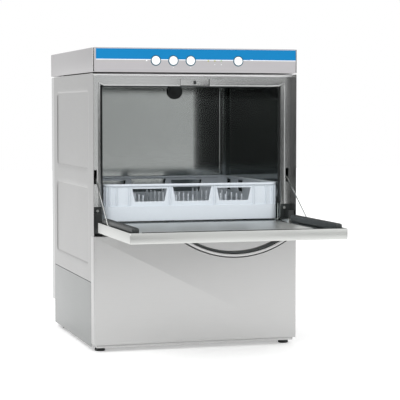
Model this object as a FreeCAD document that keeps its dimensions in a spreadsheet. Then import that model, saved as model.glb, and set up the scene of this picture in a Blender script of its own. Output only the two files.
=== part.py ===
import FreeCAD, Part
import math
import os
import re
import Sketcher

# Front-loading commercial dishwasher with a drop-down door, shown with the door open.
# X runs left to right, Y front to back, Z up; the origin is on the floor, under the middle of the outline.
# Depths called "back(d)" are measured backwards from the cabinet's front plane.

doc = FreeCAD.newDocument("Dishwasher")
sheet = doc.addObject("Spreadsheet::Sheet", "sizes")

driving = {
    # cabinet
    "cab_width": 575, "cab_depth": 605, "cab_height": 820, "gauge": 1.2, "hood_height": 66,
    "base_level": 12, "lower_panel_top": 187, "front_panel_top": 313.7, "front_return": 38,
    "side_depth": 558, "panel_top": 751, "side_panel_foot": 187.8,
    # opening and wash chamber
    "recess": 40, "frame_back": 60, "opening_half": 254.5, "opening_top": 718, "jamb_foot": 391,
    "tank_floor": 250, "tank_roof": 749, "tank_gauge": 1.5, "tank_back": 551.5, "sill_top": 346,
    "edge_round": 13, "corner_round": 25, "arm_centre": 296.5,
    # door
    "door_reach": 397, "door_root": 34, "door_half": 283.2, "door_thick": 27.2, "hinge_depth": 13.6,
    "hinge_height": 340, "notch_width": 30, "notch_reach": 34, "panel_drop": 6.6,
    "handle_half": 140, "handle_drop": 43.4, "handle_depth": 24, "handle_band": 11, "handle_from_tip": 38,
    # stay rods
    "stay_pin_offset": 277, "stay_pin_reach": 130, "stay_pin_height": 350.8, "stay_angle": 34.8,
    "stay_splay": 1.25, "stay_length": 236, "stay_radius": 1.5,
    # rack
    "rack_side": 500, "rack_tall": 100, "rack_floor": 350, "rack_front": 42, "rack_wall": 4, "rack_corner": 24,
    "grid_pitch": 48,
    # controls
    "button_level": 786, "button_radius": 11.8, "bezel_radius": 13.5, "lamp_radius": 2.5,
    "band_low": 789, "band_high": 817,
    # spray arms
    "stem_radius": 12, "arm_radius": 228, "arm_width": 44, "rinse_width": 22, "running_gap": 0.1,
    # pump, pipes and boiler
    "pump_depth": 400, "pump_level": 110, "pipe_radius": 12, "boiler_radius": 62,
    "spigot_level": 48,
}
for row, (alias, value) in enumerate(driving.items(), 1):
    sheet.set(f"A{row}", alias)
    sheet.set(f"B{row}", str(value))
    sheet.setAlias(f"B{row}", alias)
doc.recompute()

names = sorted(driving, key=len, reverse=True)
alias_words = re.compile(r"(?<![\w.])(" + "|".join(names) + r")\b")
nodes = {}
count = 0


def expression(text):
    """The same formula with every size name pointed at its cell."""
    return alias_words.sub(r"sizes.\1", str(text))


def bind(thing, path, text):
    thing.setExpression(path, expression(text))


def back(depth):
    """A distance behind the cabinet's front plane; the open door and the cabinet balance about Y = 0."""
    return f"((door_reach-cab_depth)/2+({depth}))"


def side(sign, near, far):
    """An X range given as distances from the middle, on the left (-1) or the right (+1)."""
    return (near, far) if sign > 0 else (f"-({far})", f"-({near})")


def inset(distance):
    return f"(cab_width/2-({distance}))"


def fresh(kind, stem):
    global count
    count += 1
    return doc.addObject(kind, f"{stem}{count}")


def block(x, y, z):
    """A box between three pairs of limits."""
    solid = fresh("Part::Box", "Block")
    for size, base, (low, high) in zip(("Length", "Width", "Height"), "xyz", (x, y, z)):
        bind(solid, size, f"({high})-({low})")
        bind(solid, f"Placement.Base.{base}", low)
    return solid


turns = {
    "X": FreeCAD.Rotation(FreeCAD.Vector(0, 1, 0), 90),
    "Y": FreeCAD.Rotation(FreeCAD.Vector(1, 0, 0), -90),
    "Z": FreeCAD.Rotation(),
}


def rod(axis, centre, radius, low, high):
    """A round bar along one axis, from low to high; centre gives the other two coordinates in order."""
    solid = fresh("Part::Cylinder", "Rod")
    solid.Placement = FreeCAD.Placement(FreeCAD.Vector(), turns[axis])
    bind(solid, "Radius", radius)
    bind(solid, "Height", f"({high})-({low})")
    others = [letter for letter in "XYZ" if letter != axis]
    bind(solid, f"Placement.Base.{axis.lower()}", low)
    for letter, value in zip(others, centre):
        bind(solid, f"Placement.Base.{letter.lower()}", value)
    return solid


def cut(base, *tools):
    result = fresh("Part::Cut", "Cut")
    result.Base = base
    result.Tool = tools[0] if len(tools) == 1 else fuse(*tools)
    return result


def fuse(*solids):
    result = fresh("Part::MultiFuse", "Joined")
    result.Shapes = list(solids)
    return result


def common(first, second):
    result = fresh("Part::Common", "Shared")
    result.Base = first
    result.Tool = second
    return result


def group(*solids):
    result = fresh("Part::Compound", "Group")
    result.Links = list(solids)
    return result


def rounded(base, radius, wanted):
    """Rounds the edges whose middle point and direction the test picks."""
    doc.recompute()
    picked = []
    for number, edge in enumerate(base.Shape.Edges, 1):
        middle = edge.valueAt((edge.FirstParameter + edge.LastParameter) / 2)
        if wanted(middle, edge.tangentAt(edge.FirstParameter)):
            picked.append((number, radius, radius))
    result = fresh("Part::Fillet", "Rounded")
    result.Base = base
    result.Edges = picked
    return result


frames = {
    "XY": FreeCAD.Rotation(),
    "XZ": FreeCAD.Rotation(FreeCAD.Vector(1, 0, 0), 90),
    "YZ": FreeCAD.Rotation(FreeCAD.Vector(1, 1, 1), 120),
}


def outline(plane, points, low, high):
    """A PartDesign body: a closed sketch of straight runs in a plane, padded from low to high across it."""
    body = fresh("PartDesign::Body", "Body")
    sketch = body.newObject("Sketcher::SketchObject", f"Sketch{count}")
    ground = [item for item in body.Origin.OriginFeatures if item.Role == "XY_Plane"][0]
    sketch.AttachmentSupport = [(ground, "")]
    sketch.MapMode = "FlatFace"
    total = len(points)
    rough = [FreeCAD.Rotation(FreeCAD.Vector(0, 0, 1), 360 * i / total).multVec(FreeCAD.Vector(100, 0, 0))
             for i in range(total)]
    for i in range(total):
        sketch.addGeometry(Part.LineSegment(rough[i], rough[(i + 1) % total]))
    for i in range(total):
        sketch.addConstraint(Sketcher.Constraint("Coincident", i, 2, (i + 1) % total, 1))
    for i, corner in enumerate(points):
        for direction, text, start in zip(("DistanceX", "DistanceY"), corner, (rough[i].x, rough[i].y)):
            spot = sketch.addConstraint(Sketcher.Constraint(direction, -1, 1, i, 1, start))
            bind(sketch, f"Constraints[{spot}]", text)
    pad = body.newObject("PartDesign::Pad", f"Pad{count}")
    pad.Profile = sketch
    bind(pad, "Length", f"({high})-({low})")
    body.Placement = FreeCAD.Placement(FreeCAD.Vector(), frames[plane])
    across = {"XY": ("z", low), "XZ": ("y", high), "YZ": ("x", low)}[plane]
    bind(body, f"Placement.Base.{across[0]}", across[1])
    return body


def cell(alias):
    return float(sheet.get(alias))


def pipe(points, radius, bore, bend):
    """A tube along straight runs joined by tangent arcs, as one Part feature."""
    corners = [FreeCAD.Vector(*point) for point in points]
    edges = []
    start = corners[0]
    for before, corner, after in zip(corners, corners[1:], corners[2:]):
        inward = (before - corner).normalize()
        outward = (after - corner).normalize()
        half = inward.getAngle(outward) / 2
        reach = bend / math.tan(half)
        first = corner + inward * reach
        last = corner + outward * reach
        bisector = (inward + outward).normalize()
        middle = corner + bisector * (bend / math.sin(half) - bend)
        edges += [Part.LineSegment(start, first).toShape(), Part.Arc(first, middle, last).toShape()]
        start = last
    edges.append(Part.LineSegment(start, corners[-1]).toShape())
    path = Part.Wire(edges)
    direction = (corners[1] - corners[0]).normalize()
    solids = []
    for size in (radius, bore):
        if size:
            section = Part.Wire(Part.makeCircle(size, corners[0], direction))
            solids.append(path.makePipeShell([section], True, False))
    shape = solids[0] if not bore else solids[0].cut(solids[1])
    feature = fresh("Part::Feature", "Pipe")
    feature.Shape = shape
    feature.Placement = FreeCAD.Placement()
    return feature


def keep(name, thing):
    thing.Label = name
    nodes[name] = thing


# --- cabinet shell -----------------------------------------------------------------------------
full = (inset("cab_width"), "cab_width/2")
skin = ("-(cab_width/2-gauge)", "cab_width/2-gauge")


def stems(radius, low, high):
    """The four levelling-foot positions, 24 mm in from the sides."""
    return [rod("Z", (x, back(depth)), radius, low, high)
            for x in (inset(24), f"-{inset(24)}") for depth in (39, 490)]


tray = block((f"-{inset(8)}", inset(8)), (back(2), back("side_depth-2")), ("base_level", 18.9))
tray_inside = block((f"-{inset(9.5)}", inset(9.5)), (back(3.5), back("side_depth-3.5")),
                    ("base_level+1.5", 30))
keep("base_tray", cut(tray, tray_inside, *stems(5.5, 10, 14)))

feet = [fuse(pad, collar, stem) for pad, collar, stem in
        zip(stems(14.5, 0, 8), stems(12, 8, "base_level"), stems(5, "base_level", 34))]
keep("levelling_feet", group(*feet))

for word, sign in (("left", -1), ("right", 1)):
    panel = outline("YZ", [
        (back(0), "front_panel_top"), (back("front_return"), "front_panel_top"),
        (back("front_return"), "side_panel_foot"), (back("side_depth"), "side_panel_foot"),
        (back("side_depth"), "panel_top"), (back(0), "panel_top")],
        *side(sign, "cab_width/2-gauge", "cab_width/2"))
    emboss = [block(side(sign, "cab_width/2-0.4", "cab_width/2+1"), (back(66), back(510)), (491, 706)),
              block(side(sign, "cab_width/2-0.4", "cab_width/2+1"), (back(66), back(520)), (233, 444))]
    keep(f"side_panel_{word}", cut(panel, *emboss))
    lower_panel_y = (back("front_return"), back("side_depth"))
    keep(f"lower_side_panel_{word}",
         block(side(sign, "cab_width/2-gauge", "cab_width/2"), lower_panel_y, (10, "lower_panel_top")))

front = block(full, (back(0), back("front_return")), (19, "front_panel_top"))
front_inside = block(skin, (back("gauge"), back(60)), (10, "front_panel_top-gauge"))
front_behind = block(skin, (back(20), back(60)), (10, 400))
keep("lower_front_panel", cut(front, front_inside, front_behind))

cover_wide = ("-(cab_width/2-1)", "cab_width/2-1")
cover_inner = ("-(cab_width/2-1-gauge)", "cab_width/2-1-gauge")
riser_x = -64
riser_back = 580
cover = block(cover_wide, (back("side_depth"), back("cab_depth")), (76.5, 750))
cover_inside = block(cover_inner, (back(500), back("cab_depth-gauge")), ("76.5+gauge", "750-gauge"))
vents = [block((low, low + 120), (back(590), back(620)), (120 + 14 * step, 125 + 14 * step))
         for low in (-220, 100) for step in range(6)]
riser_hole = rod("Z", (riser_x, back(riser_back)), "pipe_radius+2", 700, 760)
keep("rear_cover", cut(cover, cover_inside, riser_hole, *vents))

ports = {"inlet": 180, "drain": -150, "cable": 60}
rear = block(("-(cab_width/2-gauge-0.1)", "cab_width/2-gauge-0.1"),
             (back("side_depth-gauge"), back("side_depth")), (19, "tank_floor-20"))
rear_holes = [rod("Y", (ports["inlet"], "spigot_level"), 15, back(500), back(600)),
              rod("Y", (ports["drain"], "spigot_level"), 20, back(500), back(600)),
              rod("Y", (ports["cable"], "spigot_level"), 9, back(500), back(600)),
              rod("Y", (riser_x, "pump_level"), "pipe_radius+2", back(500), back(600))]
keep("rear_lower_panel", cut(rear, *rear_holes))

hood = block(full, (back(0), back("cab_depth")), ("cab_height-hood_height", "cab_height"))
hood_inside = block(("-(cab_width/2-1.5)", "cab_width/2-1.5"), (back(-5), back("cab_depth-1.5")),
                    ("cab_height-hood_height-1", "cab_height-1.5"))
keep("top_cover", rounded(cut(hood, hood_inside), 3, lambda middle, run:
                          middle.z > cell("cab_height") - 0.01 and abs(run.y) > 0.9
                          and abs(middle.x) > cell("cab_width") / 2 - 0.01))

# --- control panel -----------------------------------------------------------------------------
plate_wide = ("-(cab_width/2-1.5)", "cab_width/2-1.5")
button_places = [-114.7, -65.9, -17.3, 118.0]
lamp_places = [32.5, 50.5, 69.5]


def across_front(x, radius, near, far, level="button_level"):
    return rod("Y", (x, level), radius, back(near), back(far))


plate = block(plate_wide, (back(0.4), back(2.4)), ("cab_height-hood_height", "cab_height-1.5"))
plate_holes = ([across_front(x, "bezel_radius", -5, 5) for x in button_places]
               + [across_front(x, "lamp_radius", -5, 5) for x in lamp_places])
keep("control_fascia", cut(plate, *plate_holes))

band = block(("-(cab_width/2-8)", "cab_width/2-3"), (back(0), back(0.4)), ("band_low", "band_high"))
band_holes = [across_front(x, "bezel_radius", -5, 5) for x in button_places]
keep("blue_control_band", cut(band, *band_holes))

keep("button_bezels", group(*[cut(across_front(x, "bezel_radius", -1.2, 8),
                                  across_front(x, "button_radius+0.2", -5, 20)) for x in button_places]))
for number, x in enumerate(button_places, 1):
    keep(f"push_button_{number}", across_front(x, "button_radius", -2.5, 11))
keep("indicator_lamps", group(*[across_front(x, "lamp_radius", -0.8, 14) for x in lamp_places]))
board = block((-160, 160), (back(30), back(31.6)), (762, 810))
switches = [block((x - 8, x + 8), (back(15), back(30)), ("button_level-8", "button_level+8"))
            for x in button_places]
keep("control_board", fuse(board, *switches))

# --- door frame and what is fixed to it --------------------------------------------------------
arch = block(skin, (back("recess"), back("frame_back")), ("jamb_foot", "tank_roof"))
doorway = block(("-opening_half", "opening_half"), (back(0), back(80)), (300, "opening_top"))
arch_hollow = block(("-(cab_width/2-gauge-1.5)", "cab_width/2-gauge-1.5"), (back("recess+1.5"), back(80)),
                    (300, "tank_roof-1.5"))
liner_wall = block(("-(opening_half+1.5)", "opening_half+1.5"), (back(0), back(80)), (300, "opening_top+1.5"))


def doorway_edge(middle, run):
    on_face = abs(middle.y - (cell("door_reach") - cell("cab_depth")) / 2 - cell("recess")) < 0.01
    inside = abs(middle.x) < cell("opening_half") + 0.01 and middle.z < cell("opening_top") + 0.01
    return on_face and inside and middle.z > cell("jamb_foot") + 1


shell = rounded(cut(arch, doorway), driving["edge_round"], doorway_edge)
rail = block(skin, (back("door_thick+1.3"), back("recess")), (744, "tank_roof"))
stay_slots = [block(side(sign, inset(18), inset(9)), (back(30), back(45)), (453, 491)) for sign in (-1, 1)]
latch_slot = block((2, 10), (back(30), back(43)), (723, 733))
latch_pocket = block((-6, 18), (back(43), back(48)), (720, 736))
arch_space = cut(arch_hollow, liner_wall)
space_clear = block(("-(opening_half+14)", "opening_half+14"), (back("recess+1.5"), back("recess+13.5")),
                    (300, "opening_top+14"))
keep("front_frame", cut(fuse(shell, rail), cut(arch_space, space_clear), latch_slot, latch_pocket,
                        *stay_slots))

seal = cut(block(("-(opening_half)", "opening_half"), (back(46), back(55)), ("jamb_foot", "opening_top")),
           block(("-(opening_half-3)", "opening_half-3"), (back(40), back(60)), (380, "opening_top-3")))
edge_clear = cut(block(("-(opening_half+20)", "opening_half+20"), (back(30), back(60)), (380, 760)),
                 block(("-(opening_half)", "opening_half"), (back(30), back(60)), (300, "opening_top")))
keep("opening_seal", cut(seal, edge_clear))

keep("door_catch", fuse(block((2.2, 9.8), (back(41.2), back(43)), (723.2, 732.8)),
                        block((-6, 18), (back(43), back(48)), (720, 736))))

keep("stay_guides", group(*[
    cut(block(side(sign, inset(18), inset(9)), (back(39.2), back(43)), (453, 491)),
        block(side(sign, inset(17.6), inset(9.2)), (back(30), back(60)), (454, 490))) for sign in (-1, 1)]))

keep("frame_screws", group(*[rod("Y", (f"{sign}*{inset(18.2)}", 509.7), 3.8, back(39), back("recess"))
                             for sign in (-1, 1)]))

brackets = []
for sign in (-1, 1):
    cheek = block(side(sign, inset(20), inset(4)), (back(6), back("recess+1.5")), (322, 374))
    pivot = rod("X", (back("hinge_depth"), "hinge_height"), 4, *side(sign, inset(33), inset(4)))
    brackets.append(fuse(cheek, pivot))
keep("hinge_brackets", group(*brackets))

keep("hinge_liners", group(*[
    block(side(sign, inset(31.2), inset(1.4)), (back("recess+1.5"), back("recess+4")),
          ("front_panel_top", "jamb_foot")) for sign in (-1, 1)]))

# --- wash chamber ------------------------------------------------------------------------------
tank_wide = ("-(opening_half+tank_gauge)", "opening_half+tank_gauge")
tank_inner = ("-opening_half", "opening_half")
tank_shell = rounded(block(tank_wide, (back("frame_back"), back("tank_back")), ("tank_floor", "tank_roof")),
                     driving["corner_round"] + driving["tank_gauge"],
                     lambda middle, run: abs(run.z) > 0.9 and middle.y > 0)
tank_space = rounded(block(tank_inner, (back("frame_back+tank_gauge"), back("tank_back-tank_gauge")),
                           ("tank_floor+tank_gauge", "tank_roof-tank_gauge")),
                     driving["corner_round"], lambda middle, run: abs(run.z) > 0.9 and middle.y > 0)
sill = block(tank_wide, (back("recess+1.5"), back("frame_back+5")), ("tank_floor", "jamb_foot"))
sill_space = block(tank_inner, (back("recess+3"), back("frame_back+30")), ("tank_floor+tank_gauge", 520))
mouth = block(tank_inner, (back(30), back("frame_back+30")), ("sill_top", "opening_top"))
drain_x = 40
drain_hole = rod("Z", (drain_x, back("pump_depth")), 16, 240, 260)
keep("wash_tank", cut(fuse(tank_shell, sill), tank_space, sill_space, mouth, drain_hole))

keep("rack_runners", group(*[
    block(side(sign, "opening_half-18", "opening_half"), (back(70), back(520)), (344, 349.6))
    for sign in (-1, 1)]))

filters = []
for sign in (-1, 1):
    leaf = block(side(sign, 2, 246), (back(48), back(520)), (282, 283.5))
    slots = [block(side(sign, 30 + 24 * step, 40 + 24 * step), (back(low), back(low + 150)), (280, 290))
             for step in range(9) for low in (80, 330)]
    middle_hole = rod("Z", (0, back("arm_centre")), 24, 280, 290)
    filters.append(cut(leaf, middle_hole, *slots))
keep("tank_filters", group(*filters))

standpipe = cut(rod("Z", (200, back(470)), 16, "tank_floor+tank_gauge", 281),
                rod("Z", (200, back(470)), 13, 240, 290))
keep("overflow_standpipe", standpipe)

tank_end = float(driving["tank_back"] - driving["tank_gauge"])
front_y = (driving["door_reach"] - driving["cab_depth"]) / 2
keep("heating_element", pipe([(-150, front_y + tank_end, 267), (-150, front_y + 150, 267),
                              (150, front_y + 150, 267), (150, front_y + tank_end, 267)], 5, 0, 40))

cap_x = 86.5
cap_at = (cap_x, 709)
keep("vent_cap", fuse(rod("Y", cap_at, 22.5, back("tank_back-tank_gauge-16"), back("tank_back-tank_gauge-4")),
                      rod("Y", cap_at, 17, back("tank_back-tank_gauge-4"), back("tank_back-tank_gauge"))))

# --- spray arms --------------------------------------------------------------------------------


def spray_arm(width, low, high, hub_radius, hub_low, hub_high, jets):
    """A flat two-ended arm with a hub, a centre bore with running clearance and a row of jet holes."""
    y = (back(f"arm_centre-{width}/2"), back(f"arm_centre+{width}/2"))
    bar = rounded(block(("-arm_radius", "arm_radius"), y, (low, high)), driving[width] / 2 - 0.5,
                  lambda middle, run: abs(run.z) > 0.9)
    hub = rod("Z", (0, back("arm_centre")), hub_radius, hub_low, hub_high)
    bore = rod("Z", (0, back("arm_centre")), "stem_radius+running_gap", hub_low - 5, hub_high + 5)
    holes = [rod("Z", (x, back("arm_centre")), 2, low - 1, (low + high) / 2) if jets == "down" else
             rod("Z", (x, back("arm_centre")), 2, (low + high) / 2, high + 1)
             for x in (-200, -150, -100, -55, 55, 100, 150, 200)]
    return cut(fuse(bar, hub), bore, *holes)


arm_middle = (0, back("arm_centre"))
keep("lower_arm_stem", fuse(rod("Z", arm_middle, 30, "tank_floor+tank_gauge", 256),
                            rod("Z", arm_middle, 18, 256, 296), rod("Z", arm_middle, "stem_radius", 296, 340)))
keep("lower_wash_arm", spray_arm("arm_width", 302, 320, 24, 297, 324, "up"))
keep("lower_rinse_arm", spray_arm("rinse_width", 326, 333, 18, 325, 335, "up"))
keep("upper_arm_stem", fuse(rod("Z", arm_middle, 26, 745.5, "tank_roof-tank_gauge"),
                            rod("Z", arm_middle, "stem_radius", 725, 745.5)))
keep("upper_wash_arm", spray_arm("arm_width", 733, 743, 22, 732, 744.5, "down"))
keep("upper_rinse_arm", spray_arm("rinse_width", 726, 730.5, 18, 725.2, 731, "down"))
keep("arm_caps", group(rod("Z", arm_middle, 16, 340, 344), rod("Z", arm_middle, 15, 722.6, 725)))

# --- pump, pipes, boiler and connections -------------------------------------------------------
pump_axis = (back("pump_depth"), "pump_level")
keep("pump_volute", cut(rod("X", pump_axis, 58, -88, -40), rod("X", pump_axis, 48, -84, -46),
                        rod("X", pump_axis, 16, -50, -30), rod("X", pump_axis, 6.3, -95, -80),
                        rod("Z", (riser_x, back("pump_depth")), 10, "pump_level+40", "pump_level+60"),
                        rod("Y", (riser_x, "pump_level"), 10, back("pump_depth+40"), back("pump_depth+60"))))
keep("pump_motor", cut(rod("X", pump_axis, 54, -232, -88), rod("X", pump_axis, 38, -214, -108),
                       rod("X", pump_axis, 6.1, -222, -80)))
keep("pump_rotor", fuse(rod("X", pump_axis, 6, -218, -56), rod("X", pump_axis, 35, -200, -122),
                        rod("X", pump_axis, 42, -78, -58)))

pump_y = front_y + driving["pump_depth"]
arm_y = front_y + driving["arm_centre"]
level = driving["pump_level"]
floor = driving["tank_floor"]
keep("suction_hose", pipe([(drain_x, pump_y, floor), (drain_x, pump_y, level), (-40, pump_y, level)],
                          18, 15, 34))
keep("lower_feed_pipe", pipe([(riser_x, pump_y, level + 58), (riser_x, pump_y, 212), (riser_x, arm_y, 212),
                              (0, arm_y, 212), (0, arm_y, floor)], 12, 10, 20))
keep("upper_feed_pipe", pipe([(riser_x, pump_y + 58, level), (riser_x, front_y + riser_back, level),
                              (riser_x, front_y + riser_back, 772), (riser_x, arm_y, 772), (0, arm_y, 772),
                              (0, arm_y, driving["tank_roof"])], 12, 10, 20))
boiler_axis = (150, 120)
vessel = cut(rod("Y", boiler_axis, "boiler_radius", back(200), back(470)),
             rod("Y", boiler_axis, "boiler_radius-2", back(202), back(468)))
element = fuse(rod("Y", boiler_axis, 30, back(188), back(200)),
               rod("Y", boiler_axis, 16, back(174), back(188)))
keep("boiler", fuse(vessel, element))

valve = fuse(block((ports["inlet"] - 20, ports["inlet"] + 20),
                   (back(516), back("side_depth-gauge")), (32, 76)),
             rod("Y", (ports["inlet"], "spigot_level"), 15, back("side_depth-gauge"), back("side_depth")),
             rod("Y", (ports["inlet"], "spigot_level"), 13.2, back("side_depth"), back("side_depth+18")))
keep("inlet_valve", cut(valve, rod("Y", (ports["inlet"], "spigot_level"), 9, back("side_depth-8"), back(600))))
drain = fuse(rod("Y", (ports["drain"], "spigot_level"), 20, back(530), back("side_depth")),
             rod("Y", (ports["drain"], "spigot_level"), 14, back("side_depth"), back("side_depth+36")))
keep("drain_spigot", cut(drain, rod("Y", (ports["drain"], "spigot_level"), 11, back(520), back(620))))
gland = fuse(rod("Y", (ports["cable"], "spigot_level"), 9, back("side_depth-gauge-8"), back("side_depth")),
             rod("Y", (ports["cable"], "spigot_level"), 13, back("side_depth"), back("side_depth+18")))
keep("cable_gland", cut(gland, rod("Y", (ports["cable"], "spigot_level"), 5, back(500), back(620))))

# --- door --------------------------------------------------------------------------------------
door_low = "hinge_height-door_thick/2"
door_rim = "hinge_height+door_thick/2"
door_bed = "hinge_height+door_thick/2-panel_drop"


def door_slab(margin, low, high):
    slab = block((f"-(door_half-{margin})", f"door_half-{margin}"),
                 (back(f"{margin}-door_reach"), back(f"door_root-{margin}")), (low, high))
    notches = [block(side(sign, f"door_half-notch_width-{margin}", "door_half+5"),
                     (back(f"-notch_reach-{margin}"), back("door_root+5")), (300, 380)) for sign in (-1, 1)]
    return cut(slab, *notches)


root_clear = block(("-(door_half+5)", "door_half+5"), (back("front_return-20"), back("door_root+5")),
                   (door_bed, 400))
keep("door_outer_skin", cut(door_slab("0", door_low, door_rim), door_slab("gauge", f"{door_low}+gauge", 380),
                            root_clear))
keep("door_inner_panel", door_slab("gauge", f"{door_bed}-gauge", door_bed))

handle_rise = (driving["handle_half"] ** 2 + driving["handle_drop"] ** 2) / (2 * driving["handle_drop"])
handle_y = (back("handle_from_tip-door_reach"), back("handle_from_tip+handle_depth-door_reach"))
handle_axis = (0, f"{door_low}-handle_drop+{handle_rise:.3f}")


def bow(outer, inner, y):
    """The part of a ring below the door's outer face."""
    ring = cut(rod("Y", handle_axis, f"{handle_rise:.3f}-{outer}", *y),
               rod("Y", handle_axis, f"{handle_rise:.3f}-{inner}", *y))
    return common(ring, block((-200, 200), y, (200, door_low)))


keep("door_handle", bow("0", "handle_band", handle_y))
keep("handle_liner", bow("handle_band", "(handle_band+5.5)", handle_y))
keep("door_gasket", block((-250, 250), (back("9-door_reach"), back("14-door_reach")),
                          (door_bed, f"{door_rim}+1")))

guides = []
for sign in (-1, 1):
    bar = rounded(block(side(sign, inset(32), inset(13)), (back("12-door_reach"), back(-36)),
                        (door_bed, 365)), 5,
                  lambda middle, run: middle.z > 364.9 and abs(run.x) > 0.9 and middle.y < -300)
    pin = rod("X", (back("-stay_pin_reach"), "stay_pin_height"), 2, *side(sign, inset(13.5), inset(5.5)))
    guides.append(fuse(bar, pin))
keep("door_guides", group(*guides))

hinge_arms = []
for sign in (-1, 1):
    plate = block(side(sign, inset(34.3), inset(22)), (back(-33.8), back(33)),
                  ("hinge_height-12", "hinge_height+12"))
    bore = rod("X", (back("hinge_depth"), "hinge_height"), 4.08, *side(sign, inset(33.5), inset(20)))
    hinge_arms.append(cut(plate, bore))
keep("door_hinge_arms", group(*hinge_arms))

# --- stay rods ---------------------------------------------------------------------------------
for word, sign in (("left", -1), ("right", 1)):
    pin_x = sign * driving["stay_pin_offset"]
    pin_at = FreeCAD.Vector(pin_x, front_y - driving["stay_pin_reach"], driving["stay_pin_height"])
    lean = math.radians(driving["stay_angle"])
    splay = math.radians(driving["stay_splay"])
    run = FreeCAD.Vector(-sign * math.tan(splay), math.cos(lean), math.sin(lean)).normalize()
    shaft = fresh("Part::Cylinder", "Stay")
    bind(shaft, "Radius", "stay_radius")
    bind(shaft, "Height", "stay_length-3.4")
    shaft.Placement = FreeCAD.Placement(pin_at + run * 3.4, FreeCAD.Rotation(FreeCAD.Vector(0, 0, 1), run))
    nut = fresh("Part::Cylinder", "StayNut")
    nut.Radius = 4
    nut.Height = 5
    nut.Placement = FreeCAD.Placement(pin_at + run * (driving["stay_length"] - 6), shaft.Placement.Rotation)
    eye = rod("X", (back("-stay_pin_reach"), "stay_pin_height"), 3.6,
              f"{pin_x}-1.3", f"{pin_x}+1.3")
    eye_bore = rod("X", (back("-stay_pin_reach"), "stay_pin_height"), 2.06, f"{pin_x}-3", f"{pin_x}+3")
    keep(f"stay_rod_{word}", cut(fuse(shaft, nut, eye), eye_bore))

# --- rack --------------------------------------------------------------------------------------
rack_wide = ("-rack_side/2", "rack_side/2")
rack_y = (back("rack_front"), back("rack_front+rack_side"))
basket = rounded(block(rack_wide, rack_y, ("rack_floor", "rack_floor+rack_tall")), driving["rack_corner"],
                 lambda middle, run: abs(run.z) > 0.9)
rack_space = rounded(block(("-(rack_side/2-rack_wall)", "rack_side/2-rack_wall"),
                           (back("rack_front+rack_wall"), back("rack_front+rack_side-rack_wall")),
                           ("rack_floor+rack_wall", "rack_floor+rack_tall+5")),
                     driving["rack_corner"] - driving["rack_wall"],
                     lambda middle, run: abs(run.z) > 0.9)
windows = [block((low, high), (back(0), back(600)), ("rack_floor+53", "rack_floor+89"))
           for low, high in ((-168, -73), (-53, 53), (73, 168))]
side_windows = [block((-300, 300), (back(f"rack_front+{near}"), back(f"rack_front+{near + 42}")),
                      ("rack_floor+59", "rack_floor+92")) for near in (34, 146, 229, 312, 424)]
rack_open_floor = block(("-(rack_side/2-rack_wall)", "rack_side/2-rack_wall"),
                        (back("rack_front+rack_wall"), back("rack_front+rack_side-rack_wall")), (340, 355))
pitch = driving["grid_pitch"]
bars = []
for step in range(-5, 5):
    middle = pitch * (step + 0.5)
    bars.append(block((middle - 4, middle + 4),
                      (back("rack_front+rack_wall"), back("rack_front+rack_side-rack_wall")),
                      ("rack_floor", "rack_floor+2")))
    bars.append(block(("-(rack_side/2-rack_wall)", "rack_side/2-rack_wall"),
                      (back(f"rack_front+rack_side/2+{middle - 4}"),
                       back(f"rack_front+rack_side/2+{middle + 4}")),
                      ("rack_floor+2", "rack_floor+rack_wall")))
keep("rack_basket", group(cut(basket, rack_space, rack_open_floor, *windows, *side_windows), *bars))
pegs = [rod("Z", (pitch * (i + 0.5), back(f"rack_front+rack_side/2+{pitch}*{j + 0.5}")), 3,
            "rack_floor+rack_wall", "rack_floor+66") for i in (-4, -3, -1, 0, 2, 3) for j in range(-4, 4)]
keep("rack_pegs", group(*pegs))

# --- check and write ---------------------------------------------------------------------------
doc.recompute()
for thing in doc.Objects:
    if "Invalid" in thing.State or "Error" in thing.State:
        raise SystemExit(f"{thing.Name} {thing.Label} failed: {thing.State}")
os.makedirs("parts", exist_ok=True)
for name, thing in nodes.items():
    shape = thing.Shape
    if shape.isNull() or not shape.isValid() or not shape.Solids:
        raise SystemExit(f"{name} has no valid solid")
    shape.exportStep(f"parts/{name}.step")
print(len(nodes), "nodes written")
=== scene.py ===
import math
import bmesh
import bpy
import numpy as np
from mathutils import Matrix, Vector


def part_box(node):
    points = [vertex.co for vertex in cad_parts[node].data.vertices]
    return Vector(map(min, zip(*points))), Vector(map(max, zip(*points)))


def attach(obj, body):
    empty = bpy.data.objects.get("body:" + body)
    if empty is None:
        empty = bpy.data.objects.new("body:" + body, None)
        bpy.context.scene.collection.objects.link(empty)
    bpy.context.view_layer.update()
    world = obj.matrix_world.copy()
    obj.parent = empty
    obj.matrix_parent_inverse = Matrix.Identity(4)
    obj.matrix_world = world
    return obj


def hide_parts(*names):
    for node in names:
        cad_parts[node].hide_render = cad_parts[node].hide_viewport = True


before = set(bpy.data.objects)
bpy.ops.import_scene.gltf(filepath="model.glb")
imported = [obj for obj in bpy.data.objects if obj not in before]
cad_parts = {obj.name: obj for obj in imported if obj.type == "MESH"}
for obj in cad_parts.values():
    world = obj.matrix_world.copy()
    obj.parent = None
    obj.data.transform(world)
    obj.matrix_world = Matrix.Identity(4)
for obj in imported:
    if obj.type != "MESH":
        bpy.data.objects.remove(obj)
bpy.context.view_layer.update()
mm = 0.001
print("frame loaded")


def edges(node):
    low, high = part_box(node)
    return np.array(low) / mm, np.array(high) / mm


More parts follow.
